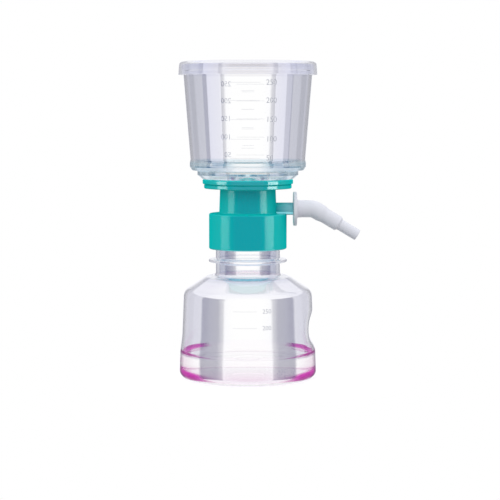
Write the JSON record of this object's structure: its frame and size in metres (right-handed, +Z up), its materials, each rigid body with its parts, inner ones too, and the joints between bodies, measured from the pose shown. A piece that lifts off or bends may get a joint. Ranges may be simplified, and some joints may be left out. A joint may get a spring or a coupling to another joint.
{
  "type": "vacuum filtration unit",
  "caption": "Laboratory vacuum filter with a clear graduated funnel, teal screw collar, elbow hose connector and a clear receiver bottle holding pink filtrate.",
  "frame": {"origin": "centre of the bottle's flat underside, on the common axis", "axes": "+Z up along the common axis of bottle, collar, funnel and lid; the vacuum port points along +X"},
  "size_m": [0.1179, 0.0898, 0.2049],
  "materials": {
    "clear_shell": "clear polished polystyrene, faint lavender tint",
    "pink_medium": "clear pink liquid",
    "soft_seal": "matt white elastomer",
    "teal_adapter": "moulded teal plastic, soft gloss",
    "filter_fibre": "white fibre plug",
    "white_connector": "moulded off-white plastic, satin",
    "drain_mesh": "white polymer mesh",
    "membrane_white": "matt white filter membrane"
  },
  "bodies": {
    "receiver": {"bottle": "clear_shell", "medium": "pink_medium"},
    "thread_carrier": {"mouth_gasket": "soft_seal"},
    "filter_top": {"adapter": "teal_adapter", "port_filter": "filter_fibre", "membrane_holder": "clear_shell", "drain_screen": "drain_mesh", "membrane": "membrane_white", "membrane_seal": "soft_seal", "funnel": "clear_shell"},
    "connector": {"hose_connector": "white_connector"},
    "cover": {"lid": "clear_shell"}
  },
  "joints": [
    {"name": "top_rise", "type": "slide", "parent": "receiver", "child": "thread_carrier", "axis": [0, 0, 1], "range_m": [0, 0.006]},
    {"name": "top_turn", "type": "hinge", "parent": "thread_carrier", "child": "filter_top", "pos_m": [0, 0, 0], "axis": [0, 0, 1], "range_deg": [0, 540]},
    {"name": "connector_swivel", "type": "hinge", "parent": "filter_top", "child": "connector", "pos_m": [0.0294, 0, 0.1099], "axis": [1, 0, 0], "continuous": true},
    {"name": "lid_lift", "type": "slide", "parent": "filter_top", "child": "cover", "axis": [0, 0, 1], "range_m": [0, 0.05]}
  ],
  "couplings": [
    {"joint": "top_rise", "follows": "top_turn", "m_per_rad": 0.00063662}
  ]
}
